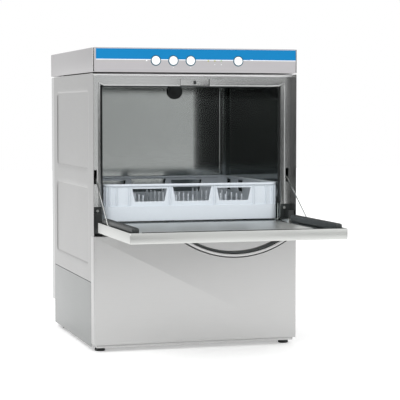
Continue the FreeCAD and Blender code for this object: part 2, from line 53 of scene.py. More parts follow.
# the viewpoint: low, a little left of the front, with a long lens
view = {"place": (-1.1407, -4.0533, 0.6527), "yaw": -16.23, "pitch": -3.41, "lens": 135.89, "sensor": 36.0}
eye = bpy.data.cameras.new("eye")
eye.lens = view["lens"]
eye.sensor_width = view["sensor"]
eye.clip_end = 60
eyeObject = bpy.data.objects.new("eye", eye)
eyeObject.location = view["place"]
eyeObject.rotation_euler = (math.radians(90 + view["pitch"]), 0, math.radians(view["yaw"]))
bpy.context.collection.objects.link(eyeObject)
bpy.context.scene.camera = eyeObject
bpy.context.scene.view_settings.view_transform = "Standard"
print("camera set")

# soft white studio: a white surround, a wide key from the upper left and a fill from the right
studio = {"surround": 1.0, "key": 60, "keySize": 2.6, "keyPlace": (-2.4, -2.6, 2.9), "fill": 14,
          "fillPlace": (2.8, -2.2, 1.4),
          "floorTone": (0.93, 0.93, 0.93), "floorSize": 24}
world = bpy.data.worlds.new("surround")
world.use_nodes = True
world.node_tree.nodes["Background"].inputs["Color"].default_value = (1, 1, 1, 1)
world.node_tree.nodes["Background"].inputs["Strength"].default_value = studio["surround"]
bpy.context.scene.world = world


def softLight(name, place, power, size):
    lamp = bpy.data.lights.new(name, "AREA")
    lamp.energy = power
    lamp.shape = "DISK"
    lamp.size = size
    holder = bpy.data.objects.new(name, lamp)
    holder.location = place
    aim = np.array((0, 0.1, 0.4)) - np.array(place)
    holder.rotation_euler = (math.atan2(np.hypot(aim[0], aim[1]), -aim[2]), 0,
        math.atan2(aim[1], aim[0]) - math.pi / 2)
    bpy.context.collection.objects.link(holder)


softLight("key", studio["keyPlace"], studio["key"], studio["keySize"])
softLight("fill", studio["fillPlace"], studio["fill"], studio["keySize"])

# black cards standing round the front of the studio darken what the steel mirrors, and nothing else:
# point = (radius sin turn, -radius cos turn, height), turn measured from straight in front, to the right
cards = {"radius": 3.2, "turns": ((-118, 4), (16.35, 112)), "low": (0.0, 0.2), "high": (0.84, 0.795),
         "tone": (0.012, 0.013, 0.013)}
cardPaint = bpy.data.materials.new("cardPaint")
cardPaint.use_nodes = True
cardPaint.node_tree.nodes["Principled BSDF"].inputs["Base Color"].default_value = (*cards["tone"], 1)
cardPaint.node_tree.nodes["Principled BSDF"].inputs["Roughness"].default_value = 1
for number, (start, stop) in enumerate(cards["turns"]):
    turn = np.radians(np.linspace(start, stop, 25))
    foot = np.stack([cards["radius"] * np.sin(turn), -cards["radius"] * np.cos(turn),
                     np.full(25, cards["low"][number])], 1)
    head = foot + np.array((0, 0, cards["high"][number] - cards["low"][number]))
    quads = [(i, i + 1, i + 26, i + 25) for i in range(24)]
    cardMesh = bpy.data.meshes.new(f"card{number}")
    cardMesh.from_pydata(np.concatenate([foot, head]).tolist(), [], quads)
    cardMesh.materials.append(cardPaint)
    card = bpy.data.objects.new(f"card{number}", cardMesh)
    card.visible_camera = False
    card.visible_diffuse = False
    card.visible_shadow = False
    bpy.context.collection.objects.link(card)


# finishes: each is a Principled surface whose tone, gloss and fine relief come from noise on
# Object coordinates
def finish(name, tone, rough, metal=0.0, grain=(1, 1, 1), spread=0.05, relief=0.02, size=60.0,
           roughSpread=0.08,
           shine=0.5, coat=0.0, glow=None, through=0.0):
    made = bpy.data.materials.new(name)
    made.use_nodes = True
    nodes, links = made.node_tree.nodes, made.node_tree.links
    shader = nodes["Principled BSDF"]
    shader.inputs["Metallic"].default_value = metal
    shader.inputs["Coat Weight"].default_value = coat
    shader.inputs["Specular IOR Level"].default_value = shine
    if glow:
        shader.inputs["Emission Color"].default_value = (*glow, 1)
        shader.inputs["Emission Strength"].default_value = 0.28
    if through:
        shader.inputs["Subsurface Weight"].default_value = through
        shader.inputs["Subsurface Radius"].default_value = (0.02, 0.02, 0.02)
    where = nodes.new("ShaderNodeTexCoord")
    stretch = nodes.new("ShaderNodeMapping")
    stretch.inputs["Scale"].default_value = grain
    links.new(where.outputs["Object"], stretch.inputs["Vector"])
    fine = nodes.new("ShaderNodeTexNoise")
    fine.inputs["Scale"].default_value = size
    fine.inputs["Detail"].default_value = 4
    links.new(stretch.outputs["Vector"], fine.inputs["Vector"])
    broad = nodes.new("ShaderNodeTexNoise")
    broad.inputs["Scale"].default_value = 5
    broad.inputs["Detail"].default_value = 3
    links.new(where.outputs["Object"], broad.inputs["Vector"])
    both = nodes.new("ShaderNodeMix")
    both.inputs[0].default_value = 0.45
    links.new(fine.outputs["Fac"], both.inputs[2])
    links.new(broad.outputs["Fac"], both.inputs[3])
    ramp = nodes.new("ShaderNodeValToRGB")
    ramp.color_ramp.elements[0].position = 0.3
    ramp.color_ramp.elements[1].position = 0.7
    ramp.color_ramp.elements[0].color = (*[c * (1 - spread) for c in tone], 1)
    ramp.color_ramp.elements[1].color = (*[min(1, c * (1 + spread)) for c in tone], 1)
    links.new(both.outputs[0], ramp.inputs["Fac"])
    links.new(ramp.outputs["Color"], shader.inputs["Base Color"])
    gloss = nodes.new("ShaderNodeMapRange")
    gloss.inputs["From Min"].default_value = 0.3
    gloss.inputs["From Max"].default_value = 0.7
    gloss.inputs["To Min"].default_value = rough - roughSpread / 2
    gloss.inputs["To Max"].default_value = rough + roughSpread / 2
    links.new(both.outputs[0], gloss.inputs["Value"])
    links.new(gloss.outputs["Result"], shader.inputs["Roughness"])
    bump = nodes.new("ShaderNodeBump")
    bump.inputs["Strength"].default_value = relief
    bump.inputs["Distance"].default_value = 0.001
    links.new(fine.outputs["Fac"], bump.inputs["Height"])
    links.new(bump.outputs["Normal"], shader.inputs["Normal"])
    return made


levelGrain = (1.5, 1.5, 90)
finishes = {
    "brushedSteel": finish("brushedSteel", (0.515, 0.515, 0.512), 0.34, 1, levelGrain, 0.03, 0.05, 12),
    # the drip rail's steel: nearly white, a painted highlight along the rolled rail
    "railHighlightSteel": finish("railHighlightSteel", (0.9, 0.9, 0.9), 0.42, 1, levelGrain, 0.03, 0.05, 12),
    # the upper side panels' steel: the front steel in a darker tone, painted shade for the sides turned away
    # from the light
    "sideSteelShaded": finish("sideSteelShaded", (0.365, 0.365, 0.363), 0.34, 1, levelGrain, 0.03, 0.05, 12),
    # the lower side panels' steel: the same steel darker still, painted shade low on the sides
    "lowerSideSteelShaded": finish("lowerSideSteelShaded", (0.29, 0.298, 0.296), 0.34, 1, levelGrain, 0.03, 0.05, 12),
    "frameSteel": finish("frameSteel", (0.47, 0.478, 0.476), 0.2, 1, levelGrain, 0.03, 0.04, 12, 0.04),
    "hoodSteel": finish("hoodSteel", (0.425, 0.418, 0.425), 0.36, 1, (1.5, 90, 1.5), 0.03, 0.05, 12),
    "fasciaSteel": finish("fasciaSteel", (0.53, 0.517, 0.53), 0.4, 0.85, levelGrain, 0.02, 0.04, 12),
    "doorSteel": finish("doorSteel", (0.6, 0.61, 0.595), 0.36, 1, (90, 1.5, 90), 0.03, 0.05, 12),
    # a much lighter copy of the steel for the fascia's end cheeks: painted highlight on their rounded edges
    "highlightSteel": finish("highlightSteel", (0.8, 0.8, 0.79), 0.25, 1, levelGrain, 0.02, 0.03, 12),
    "chamberSteel": finish("chamberSteel", (0.46, 0.485, 0.475), 0.09, 1, levelGrain, 0.03, 0.02, 10, 0.03),
    "rearSteel": finish("rearSteel", (0.55, 0.555, 0.555), 0.42, 0.9, levelGrain, 0.03, 0.04, 12),
    "armSteel": finish("armSteel", (0.6, 0.61, 0.6), 0.22, 1, (90, 2, 2), 0.04, 0.03, 10),
    "zincSteel": finish("zincSteel", (0.5, 0.51, 0.5), 0.3, 1, (1, 1, 1), 0.1, 0.05, 300),
    "rodSteel": finish("rodSteel", (0.75, 0.76, 0.74), 0.18, 1, (1, 1, 1), 0.03, 0.02, 200),
    "castMetal": finish("castMetal", (0.42, 0.43, 0.44), 0.5, 0.9, (1, 1, 1), 0.1, 0.2, 400),
    "bandBlue": finish("bandBlue", (0.003, 0.18, 0.42), 0.45, 0, (1, 1, 1), 0.03, 0.01, 200, shine=0.12),
    "printWhite": finish("printWhite", (0.9, 0.93, 0.96), 0.4, 0, (1, 1, 1), 0.01, 0.01, 200),
    "buttonWhite": finish("buttonWhite", (0.93, 0.945, 0.95), 0.22, 0, (1, 1, 1), 0.01, 0.02, 150,
                          coat=0.4, through=0.05),
    "bezelTeal": finish("bezelTeal", (0.01, 0.09, 0.14), 0.4, 0, (1, 1, 1), 0.08, 0.02, 200, shine=0.3),
    "lampYellow": finish("lampYellow", (0.42, 0.42, 0.2), 0.3, 0, (1, 1, 1), 0.03, 0.01, 200),
    "lampGreen": finish("lampGreen", (0.33, 0.43, 0.28), 0.3, 0, (1, 1, 1), 0.03, 0.01, 200),
    "blackPlastic": finish("blackPlastic", (0.022, 0.026, 0.026), 0.42, 0, (1, 1, 1), 0.2, 0.12, 900),
    "blackRubber": finish("blackRubber", (0.012, 0.014, 0.014), 0.62, 0, (1, 1, 1), 0.2, 0.15, 700),
    "blackSteel": finish("blackSteel", (0.03, 0.032, 0.032), 0.38, 0.4, (1, 1, 1), 0.2, 0.1, 600),
    "greyPipe": finish("greyPipe", (0.3, 0.31, 0.32), 0.5, 0, (1, 1, 1), 0.06, 0.08, 300),
    "boardGreen": finish("boardGreen", (0.02, 0.2, 0.08), 0.45, 0, (1, 1, 1), 0.15, 0.1, 300),
    "rackPlastic": finish("rackPlastic", (0.675, 0.727, 0.78), 0.4, 0, (1, 1, 1), 0.02, 0.08, 250,
                          through=0.15),
}
print("finishes ready")


# a grid of points becomes quads by index arithmetic; wrapU and wrapV join its ends,
# and keep drops the cells of a hole
def gridFaces(rows, columns, wrapU, wrapV, keep):
    u = np.arange(rows if wrapU else rows - 1)
    v = np.arange(columns if wrapV else columns - 1)
    uu, vv = np.meshgrid(u, v, indexing="ij")
    if keep is not None:
        uu, vv = uu[keep], vv[keep]
    uu, vv = uu.ravel(), vv.ravel()
    nextU, nextV = (uu + 1) % rows, (vv + 1) % columns
    return np.stack([uu * columns + vv, nextU * columns + vv, nextU * columns + nextV,
                     uu * columns + nextV], 1)


def surface(points, wrapU=False, wrapV=False, capStart=False, capEnd=False, keep=None, flip=False):
    rows, columns = points.shape[:2]
    faces = gridFaces(rows, columns, wrapU, wrapV, keep)
    if flip:
        faces = faces[:, ::-1]
    polygons = faces.tolist()
    ring = np.arange(columns)
    if capStart:
        polygons.append((ring if flip else ring[::-1]).tolist()[::-1])
    if capEnd:
        last = ring + (rows - 1) * columns
        polygons.append((last if flip else last[::-1]).tolist())
    return points.reshape(-1, 3), polygons


made = {}


def piece(name, surfaces, look, body, nodes=(), closed=True, wall=0.0, bevel=0.0, smooth=35):
    points, polygons, offset = [], [], 0
    for spots, faces in surfaces:
        points.append(spots)
        polygons += [[i + offset for i in face] for face in faces]
        offset += len(spots)
    mesh = bpy.data.meshes.new(name)
    mesh.from_pydata((np.concatenate(points) * mm).tolist(), [], polygons)
    work = bmesh.new()
    work.from_mesh(mesh)
    bmesh.ops.remove_doubles(work, verts=work.verts, dist=1e-6)
    bmesh.ops.dissolve_degenerate(work, dist=1e-6, edges=work.edges)
    if closed:
        bmesh.ops.recalc_face_normals(work, faces=work.faces)
    openEdge = np.array([edge.is_boundary for edge in work.edges])
    work.to_mesh(mesh)
    work.free()
    mesh.shade_smooth()
    mesh.set_sharp_from_angle(angle=math.radians(smooth))
    # a sheet's open edges are sharp too, so its wall doesn't bend the shading of its face
    if openEdge.any():
        crisp = mesh.attributes.get("sharp_edge") or mesh.attributes.new("sharp_edge", "BOOLEAN", "EDGE")
        sharp = np.zeros(len(openEdge), bool)
        crisp.data.foreach_get("value", sharp)
        crisp.data.foreach_set("value", sharp | openEdge)
    mesh.materials.append(finishes[look])
    thing = bpy.data.objects.new(name, mesh)
    bpy.context.collection.objects.link(thing)
    if wall:
        shell = thing.modifiers.new("wall", "SOLIDIFY")
        shell.thickness = wall * mm
        shell.offset = -1
    if bevel:
        soften = thing.modifiers.new("soften", "BEVEL")
        soften.width = bevel * mm
        soften.segments = 2
        soften.limit_method = "ANGLE"
    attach(thing, body)
    if nodes:
        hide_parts(*nodes)
    made[name] = thing
    return thing


# an outline of right-angled corners, moved inwards by inset, with a quarter circle at each corner:
# point = centre - r (b cos t + a sin t), a and b being the directions to the corners before and after
def roundOutline(corners, inset, radius, steps=5):
    corners = np.array(corners, float)
    ahead = np.roll(corners, -1, 0) - corners
    ahead /= np.linalg.norm(ahead, axis=1)[:, None]
    behind = -np.roll(ahead, 1, 0)
    normal = np.stack([-ahead[:, 1], ahead[:, 0]], 1)
    corners = corners + inset * (normal + np.roll(normal, 1, 0))
    t = np.linspace(0, math.pi / 2, steps)[None, :, None]
    centre = (corners + radius * (ahead + behind))[:, None]
    return (centre - radius * (ahead[:, None] * np.cos(t) + behind[:, None] * np.sin(t))).reshape(-1, 2)


def rectangle(x0, y0, x1, y1):
    return [(x0, y0), (x1, y0), (x1, y1), (x0, y1)]


turns = {"XY": ((1, 0, 0), (0, 1, 0), (0, 0, 1)), "XZ": ((1, 0, 0), (0, 0, 1), (0, 1, 0)),
         "YZ": ((0, 1, 0), (0, 0, 1), (1, 0, 0))}


# a folded tray or plate: the outline, inset and lifted by each step of a profile, closed over at both ends
def pan(corners, profile, plane="XY", radius=2.0, steps=5):
    rings = [np.c_[roundOutline(corners, inset, radius, steps), np.full(len(corners) * steps, height)]
             for inset, height in profile]
    points = np.stack(rings) @ np.array(turns[plane], float)
    return surface(points, wrapV=True, capStart=True, capEnd=True)


# a plate with softened edges: up one face, round the edge by a quarter circle, down the other
def plateProfile(low, high, soft):
    t = np.linspace(0, math.pi / 2, 4)
    start = [(soft * (1 - math.sin(a)), low + soft * (1 - math.cos(a))) for a in t]
    end = [(soft * (1 - math.cos(a)), high - soft * (1 - math.sin(a))) for a in t]
    return start + end


def plate(x, y, z, plane, soft=0.6, radius=1.0):
    spans = {"XY": (x, y, z), "XZ": (x, z, y), "YZ": (y, z, x)}[plane]
    (a0, a1), (b0, b1), (c0, c1) = spans
    return pan(rectangle(a0, b0, a1, b1), plateProfile(c0, c1, soft), plane, max(radius, soft + 0.05))


# a turned shape: radius and height along a profile, carried round an axis
def turned(profile, centre, axis="Z", steps=40):
    profile = np.array(profile, float)
    t = np.linspace(0, 2 * math.pi, steps, endpoint=False)
    r, h = profile[:, 0, None], profile[:, 1, None]
    shape = np.stack([r * np.cos(t), r * np.sin(t), h + 0 * t], 2)
    order = {"Z": (0, 1, 2), "Y": (0, 2, 1), "X": (2, 0, 1)}[axis]
    return surface(shape[:, :, order] + np.array(centre), wrapV=True, capStart=True, capEnd=True)


# a profile carried along a path: side and up are square to the path's direction at each point
def swept(profile, path, up, closed=False):
    path, profile = np.array(path, float), np.array(profile, float)
    along = np.roll(path, -1, 0) - np.roll(path, 1, 0) if closed else np.gradient(path, axis=0)
    along /= np.linalg.norm(along, axis=1)[:, None]
    side = np.cross(along, np.array(up, float))
    side /= np.linalg.norm(side, axis=1)[:, None]
    top = np.cross(side, along)
    points = path[:, None] + profile[None, :, :1] * side[:, None] + profile[None, :, 1:] * top[:, None]
    return surface(points, wrapU=closed, wrapV=True, capStart=not closed, capEnd=not closed)


def roundBar(width, height, steps=16, power=4):
    t = np.linspace(0, 2 * math.pi, steps, endpoint=False)
    c, s = np.cos(t), np.sin(t)
    return np.stack([np.sign(c) * abs(c) ** (2 / power) * width / 2,
                     np.sign(s) * abs(s) ** (2 / power) * height / 2], 1)


def outlinePath(corners, inset, radius, level, steps=8):
    ring = roundOutline(corners, inset, radius, steps)
    return np.c_[ring, np.full(len(ring), level)]


def smoothStep(x, a, b):
    t = np.clip((x - a) / (b - a), 0, 1)
    return t * t * (3 - 2 * t)


def spaced(marks, gap):
    parts = [np.linspace(a, b, max(2, int(round((b - a) / gap)) + 1))[:-1] for a,
             b in zip(marks, marks[1:])]
    return np.concatenate(parts + [[marks[-1]]])


# cabinet shell
shellLow, shellHigh = edges("top_cover")
front, rearEnd = shellLow[1], shellHigh[1]
halfWide = shellHigh[0]

hood = {"fold": 3.0, "frontStep": 2.5, "lip": 1.4}
hoodBox = rectangle(-halfWide, front + hood["frontStep"], halfWide, rearEnd)
roundOver = np.linspace(0, math.pi / 2, 6)
hoodProfile = ([(60, shellLow[2] + 1.5), (hood["lip"], shellLow[2] + 1.5), (0.5, shellLow[2]),
                (0, shellLow[2] + 0.8)]
               + [(hood["fold"] * (1 - math.cos(a)), shellHigh[2] - hood["fold"] * (1 - math.sin(a)))
                  for a in roundOver])
piece("hoodShell", [pan(hoodBox, hoodProfile, "XY", 3.2, 6)], "hoodSteel", "cabinet", ["top_cover"])

buttonBoxes = [edges(f"push_button_{number}") for number in range(1, 5)]
buttonMiddles = [(low[0] + high[0]) / 2 for low, high in buttonBoxes]
buttonLevel = (buttonBoxes[0][0][2] + buttonBoxes[0][1][2]) / 2
holeRadius = 12.0


def holeEdge(x, side):
    away = np.min(np.abs(x[:, None] - np.array(buttonMiddles)), axis=1)
    return buttonLevel + side * np.sqrt(np.maximum(holeRadius ** 2 - away ** 2, 0))


def stripColumns(x0, x1):
    arcs = [middle + holeRadius * np.cos(np.linspace(0, math.pi, 25)) for middle in buttonMiddles]
    return np.unique(np.round(np.r_[np.linspace(x0, x1, 24), np.concatenate(arcs)], 4))


def strip(x, y, foot, head):
    t = np.linspace(0, 1, 4)
    z = foot[:, None] + (head - foot)[:, None] * t
    return surface(np.stack([np.broadcast_to(x[:, None], z.shape), np.full(z.shape, y), z], 2))


fascia = {"cheek": 3.0, "sheet": 1.2}
x = stripColumns(-halfWide + fascia["cheek"], halfWide - fascia["cheek"])
piece("fasciaPlate", [strip(x, front + 0.2, np.full(len(x), shellLow[2] + 0.2), holeEdge(x, -1)),
                      strip(x, front + 0.2, holeEdge(x, 1), np.full(len(x), shellHigh[2] - 0.6))],
      "fasciaSteel", "cabinet", ["control_fascia"], closed=False, wall=fascia["sheet"], bevel=0)
# the end cheeks take the lighter steel: a painted highlight down the fascia's ends
cheeks = [plate(sorted((sign * halfWide, sign * (halfWide - fascia["cheek"] + 0.3))), (front, front + 5),
                (shellLow[2], shellHigh[2] - 0.3), "XZ", 1.0, 1.1) for sign in (-1, 1)]
piece("fasciaCheeks", cheeks, "highlightSteel", "cabinet")

bandLow, bandHigh = edges("blue_control_band")
line = {"tall": 1.7, "proud": 0.12, "gap": 13.4}
x = stripColumns(bandLow[0], bandHigh[0])
piece("blueBand", [strip(x, front - 0.05, np.maximum(holeEdge(x, 1), bandLow[2]),
                         np.full(len(x), bandHigh[2]))],
      "bandBlue", "cabinet", ["blue_control_band"], closed=False, wall=0.2, bevel=0)
lineEnds = [bandLow[0]] + [x + side for x in buttonMiddles
    for side in (-line["gap"], line["gap"])] + [bandHigh[0]]
piece("whiteLine", [plate((lineEnds[k], lineEnds[k + 1]), (front - line["proud"], front + 0.7),
                          (bandLow[2] - line["tall"], bandLow[2]), "XZ", 0.05, 0.3)
                    for k in range(0, 10, 2)],
      "printWhite", "cabinet")

buttonCrown = [(11.75, 10.8), (11.75, -1.1), (11.5, -1.8), (10.9, -2.35), (9, -2.5), (5, -2.3),
               (0.01, -2.2)]
bezelRing = [(12.05, 8), (12.05, -0.6), (12.3, -1.1), (12.9, -1.2), (13.7, -0.9), (14.3, -0.3),
             (14.3, 0.3), (13.5, 0.3), (13.5, 8)]
bezels = []
marks = []
for number in range(1, 5):
    low, high = edges(f"push_button_{number}")
    middle = (low + high) / 2
    at = (middle[0], front, middle[2])
    piece(f"buttonCap{number}", [turned(buttonCrown, at, "Y", 48)], "buttonWhite", f"button_{number}",
          [f"push_button_{number}"])
    ringPoints = np.array(bezelRing + [bezelRing[0]])
    t = np.linspace(0, 2 * math.pi, 48, endpoint=False)
    ring = np.stack([ringPoints[:, 0, None] * np.cos(t), ringPoints[:, 1, None] + 0 * t,
                     ringPoints[:, 0, None] * np.sin(t)], 2)
    bezels.append(surface((ring + np.array(at))[:-1], wrapU=True, wrapV=True))
    marks += [(middle[0], middle[2] - 18.5, 3.2, 1.0)] if number in (2, 3) else []
piece("buttonRings", bezels, "bezelTeal", "cabinet", ["button_bezels"])

# plain printed marks beside the buttons and lamps
buttonLeft, buttonRight = edges("push_button_1"), edges("push_button_4")
level = (buttonLeft[0][2] + buttonLeft[1][2]) / 2
marks += [(buttonLeft[0][0] - 14, level, 4, 4), (buttonRight[1][0] + 20, level + 1.5, 9, 1.2),
          (buttonRight[1][0] + 26, level + 3.6, 9, 0.8)]
lampLow, lampHigh = edges("indicator_lamps")
lampRadius = (lampHigh[2] - lampLow[2]) / 2
lampSpots = [lampLow[0] + lampRadius, (lampLow[0] + lampHigh[0]) / 2, lampHigh[0] - lampRadius]
marks += [(spot, level - 10, 2.6, 1.6) for spot in lampSpots[1:]]
piece("printedMarks", [plate((x - w / 2, x + w / 2), (front - 0.12, front + 0.6), (z - h / 2, z + h / 2),
    "XZ", 0.05, 0.4)
                       for x, z, w, h in marks], "printWhite", "cabinet")
lens = [(2.5, 10), (2.5, -0.2), (2.2, -0.6), (1.2, -0.8), (0.01, -0.85)]
piece("lampLenses", [turned(lens, (spot, front, level), "Y", 20) for spot in lampSpots[:2]], "lampYellow",
      "cabinet",
      ["indicator_lamps"])
piece("lampLensEnd", [turned(lens, (lampSpots[2], front, level), "Y", 20)], "lampGreen", "cabinet")
print("control strip done")

# side panels: a sheet with two shallow pressed fields, each sunk by depth x (1 - smooth step of the
# distance past its rounded edge)
frontLow, frontHigh = edges("lower_front_panel")
sideSheet = {"fields": ((66, 510, 491, 706), (66, 520, 233, 444)), "depth": 2.1, "ramp": 4.2, "corner": 14,
             "gap": 12, "wall": 1.1}


def pressed(y, z, field, ramp, corner):
    y0, y1, z0, z1 = field
    dy = np.maximum(np.maximum(y0 + corner - y, y - y1 + corner), 0)
    dz = np.maximum(np.maximum(z0 + corner - z, z - z1 + corner), 0)
    return 1 - smoothStep(np.hypot(dy, dz), corner - ramp, corner)


def sidePanel(sign, word):
    low, high = edges(f"side_panel_{word}")
    fields = [(y0 + front, y1 + front, z0, z1) for y0, y1, z0, z1 in sideSheet["fields"]]
    ramp, corner = sideSheet["ramp"], sideSheet["corner"]
    breaksY = sorted({low[1], frontHigh[1], high[1]}
                     | {edge + step for f in fields for edge, away in ((f[0], 1), (f[1], -1))
                                                       for step in (0, away * ramp, away * corner)})
    breaksZ = sorted({low[2], frontHigh[2], high[2]}
                     | {edge + step for f in fields for edge, away in ((f[2], 1), (f[3], -1))
                                                       for step in (0, away * ramp, away * corner)})
    fine = np.unique(np.r_[spaced(breaksY, sideSheet["gap"]),
        [f[0] + d for f in fields for d in (1, 2, 3, 5, 7, 9)],
                           [f[1] - d for f in fields for d in (1, 2, 3, 5, 7, 9)]])
    fineZ = np.unique(np.r_[spaced(breaksZ, sideSheet["gap"]),
        [f[2] + d for f in fields for d in (1, 2, 3, 5, 7, 9)],
                            [f[3] - d for f in fields for d in (1, 2, 3, 5, 7, 9)]])
    y, z = np.meshgrid(fine, fineZ, indexing="ij")
    sink = sum(pressed(y, z, field, ramp, corner) for field in fields) * sideSheet["depth"]
    x = sign * (halfWide - sink)
    cellY, cellZ = (fine[:-1] + fine[1:]) / 2, (fineZ[:-1] + fineZ[1:]) / 2
    keep = (cellY[:, None] > frontHigh[1]) | (cellZ[None] > frontHigh[2])
    sheet = surface(np.stack([x, y, z], 2), keep=keep, flip=sign < 0)
    # the upper sides take the darker copy of the steel: painted shade
    piece(f"sidePanel{word.capitalize()}", [sheet], "sideSteelShaded", "cabinet", [f"side_panel_{word}"],
          closed=False, wall=sideSheet["wall"], bevel=0.35)


for sign, word in ((-1, "left"), (1, "right")):
    sidePanel(sign, word)
    low, high = edges(f"lower_side_panel_{word}")
    # the lower sides take the darkest copy of the steel: painted shade
    piece(f"lowerSide{word.capitalize()}", [plate((low[0], high[0]), (low[1] + 1.6, high[1]),
        (low[2], high[2] - 0.6), "YZ", 0.4, 1.5)],
          "lowerSideSteelShaded", "cabinet", [f"lower_side_panel_{word}"])

# lower front panel: a tray folded back round its edges, with the plinth rail under it
lowerFront = {"bend": 1.6, "return": 36.0, "wall": 1.2}
bend = [(lowerFront["bend"] * (1 - math.sin(a)), frontLow[1] + lowerFront["bend"] * (1 - math.cos(a)))
        for a in roundOver]
frontProfile = bend + [(0, frontHigh[1] - 1), (0.3, frontHigh[1]), (1.2, frontHigh[1]), (1.2, front + 4)]
piece("lowerFrontPanel", [pan(rectangle(frontLow[0], frontLow[2], frontHigh[0], frontHigh[2]),
    frontProfile, "XZ", 2.0)],
      "brushedSteel", "cabinet", ["lower_front_panel"])
trayLow, trayHigh = edges("base_tray")
piece("plinthTray", [plate((trayLow[0], trayHigh[0]), (trayLow[1], trayHigh[1]), (trayLow[2], trayHigh[2]),
    "XY", 0.8, 2.0)],
      "brushedSteel", "cabinet", ["base_tray"])
foot = [(0.01, 0), (13.2, 0), (14.2, 0.8), (14.5, 2.2), (14.2, 4), (13.2, 7.6), (12.2, 8.6), (11.6, 11.9),
        (5, 12), (5, 33), (4.2, 34), (0.01, 34)]
footLow, footHigh = edges("levelling_feet")
footSpots = [(x, y) for x in (footLow[0] + 14.5, footHigh[0] - 14.5)
             for y in (footLow[1] + 14.5, footHigh[1] - 14.5)]
piece("rubberFeet", [turned(foot, (x, y, 0), "Z", 32) for x, y in footSpots], "blackRubber", "cabinet",
      ["levelling_feet"])

# rear cover: a tray open to the front with rows of pressed vents, and the panel with the connections under it
coverLow, coverHigh = edges("rear_cover")
vent = {"wide": 120, "tall": 5, "left": (-220, 100), "low": 120, "pitch": 14, "rows": 6, "hood": 4.0}
coverProfile = [(1.3, coverLow[1] + 6), (1.3, coverLow[1]), (0, coverLow[1]), (0, coverHigh[1] - 6.5)] + \
    [(2.5 * (1 - math.cos(a)), coverHigh[1] - 6.5 + 2.5 * math.sin(a)) for a in roundOver]
piece("rearCover", [pan(rectangle(coverLow[0], coverLow[2], coverHigh[0], coverHigh[2]), coverProfile,
                        "XZ", 3)],
      "rearSteel", "cabinet", ["rear_cover"])


def louvre(left, low):
    s = np.linspace(0, 1, 25)
    t = np.linspace(0, 1, 9)
    ss, tt = np.meshgrid(s, t, indexing="ij")
    rise = vent["hood"] * np.minimum(1, np.minimum(ss, 1 - ss) * 9) ** 0.5 * np.sin(tt * math.pi) ** 0.8
    back = coverHigh[1] - 4
    points = np.stack([left + ss * vent["wide"], back + np.minimum(rise, 3.9),
                       low + (tt - 0.2) * vent["tall"] * 1.8], 2)
    under = points.copy()
    under[:, :, 1] = back - 1.5
    return surface(np.concatenate([points, under[:, ::-1]], 1), wrapV=True, capStart=True, capEnd=True)


piece("rearLouvres", [louvre(left, vent["low"] + vent["pitch"] * row) for left in vent["left"]
                      for row in range(vent["rows"])],
      "rearSteel", "cabinet")
low, high = edges("rear_lower_panel")
piece("rearLowerPanel", [plate((low[0], high[0]), (low[1], high[1]), (low[2], high[2]), "XZ", 0.4, 2)],
      "rearSteel", "cabinet",
      ["rear_lower_panel"])
low, high = edges("inlet_valve")
thread = [(9, high[1] - 6), (9, high[1])] + [(12.3 + 0.9 * (k % 2),
    high[1] - 0.4 - 0.9 * k) for k in range(18)] + [(14.8, high[1] - 17), (14.8, low[1])]
piece("inletThread", [turned(thread, ((low[0] + high[0]) / 2, 0, 48), "Y", 32)], "greyPipe", "cabinet")
low, high = edges("drain_spigot")
barb = [(11, high[1] - 30), (11, high[1]), (12.4, high[1])] + [(r,
    high[1] - s - 9 * k) for k in range(4) for r, s in ((13, 1), (14, 8), (13, 8.2))]
piece("drainBarb", [turned(barb + [(13, high[1] - 36), (20, high[1] - 36), (20, low[1]), (11, low[1])],
                           ((low[0] + high[0]) / 2, 0, 48), "Y", 32)], "blackPlastic", "cabinet",
      ["drain_spigot"])
low, high = edges("cable_gland")
glandProfile = [(5, high[1] - 20), (5, high[1]), (8, high[1]), (9.5, high[1] - 2), (11.5, high[1] - 8),
                (13, high[1] - 9), (13, high[1] - 18), (9, high[1] - 18), (9, low[1]), (5, low[1])]
piece("cableGland", [turned(glandProfile, ((low[0] + high[0]) / 2, 0, 48), "Y", 12)], "blackPlastic",
      "cabinet", ["cable_gland"])
print("cabinet done")

# door frame: a profile of (distance out from the opening, depth) carried up the left jamb,
# over the lintel and down
frameLow, frameHigh = edges("front_frame")
sealLow, sealHigh = edges("opening_seal")
jambs = {"round": 13.0, "depth": 40.0, "slot": (453, 491), "slotSpan": (15, 24), "latch": 4.0,
         "latchSpan": (5, 15),
         "recess": 41.5, "offset": 6.0, "topRound": 2.0, "recessTall": 20.5, "recessDeep": 1.8, "wall": 1.2}
openHalf, openTop = sealHigh[0], sealHigh[2]
faceY = front + jambs["depth"]
flat = np.unique(np.r_[np.linspace(frameHigh[0] - openHalf, jambs["round"], 8), jambs["slotSpan"],
                       jambs["latchSpan"][1], 20.0, 21.0])[::-1]
curl = np.linspace(0, math.pi / 2, 9)[1:]
frameProfile = np.r_[np.c_[flat, np.full(len(flat), faceY)],
               np.c_[jambs["round"] * (1 - np.sin(curl)), faceY + jambs["round"] * (1 - np.cos(curl))],
               [[0, front + 60]]]
upright = np.unique(np.r_[np.linspace(frameLow[2], openTop, 14), jambs["slot"]])[:-1]
latchMarks = jambs["offset"] + np.outer((jambs["recess"], jambs["recess"] + 1, jambs["latch"]),
    (-1, 1)).ravel()
overhead = np.unique(np.r_[np.linspace(-openHalf, openHalf, 18), -openHalf + 6, openHalf - 6, latchMarks])
d, depth = frameProfile[:, 0], frameProfile[:, 1]
left = np.stack([np.broadcast_to(-openHalf - d, (len(upright), len(d))),
                 np.broadcast_to(depth, (len(upright), len(d))),
                 np.broadcast_to(upright[:, None], (len(upright), len(d)))], 2)
top = np.stack([np.broadcast_to(overhead[:, None], (len(overhead), len(d))),
                np.broadcast_to(depth, (len(overhead), len(d))),
                np.broadcast_to(openTop + d, (len(overhead), len(d)))], 2).copy()
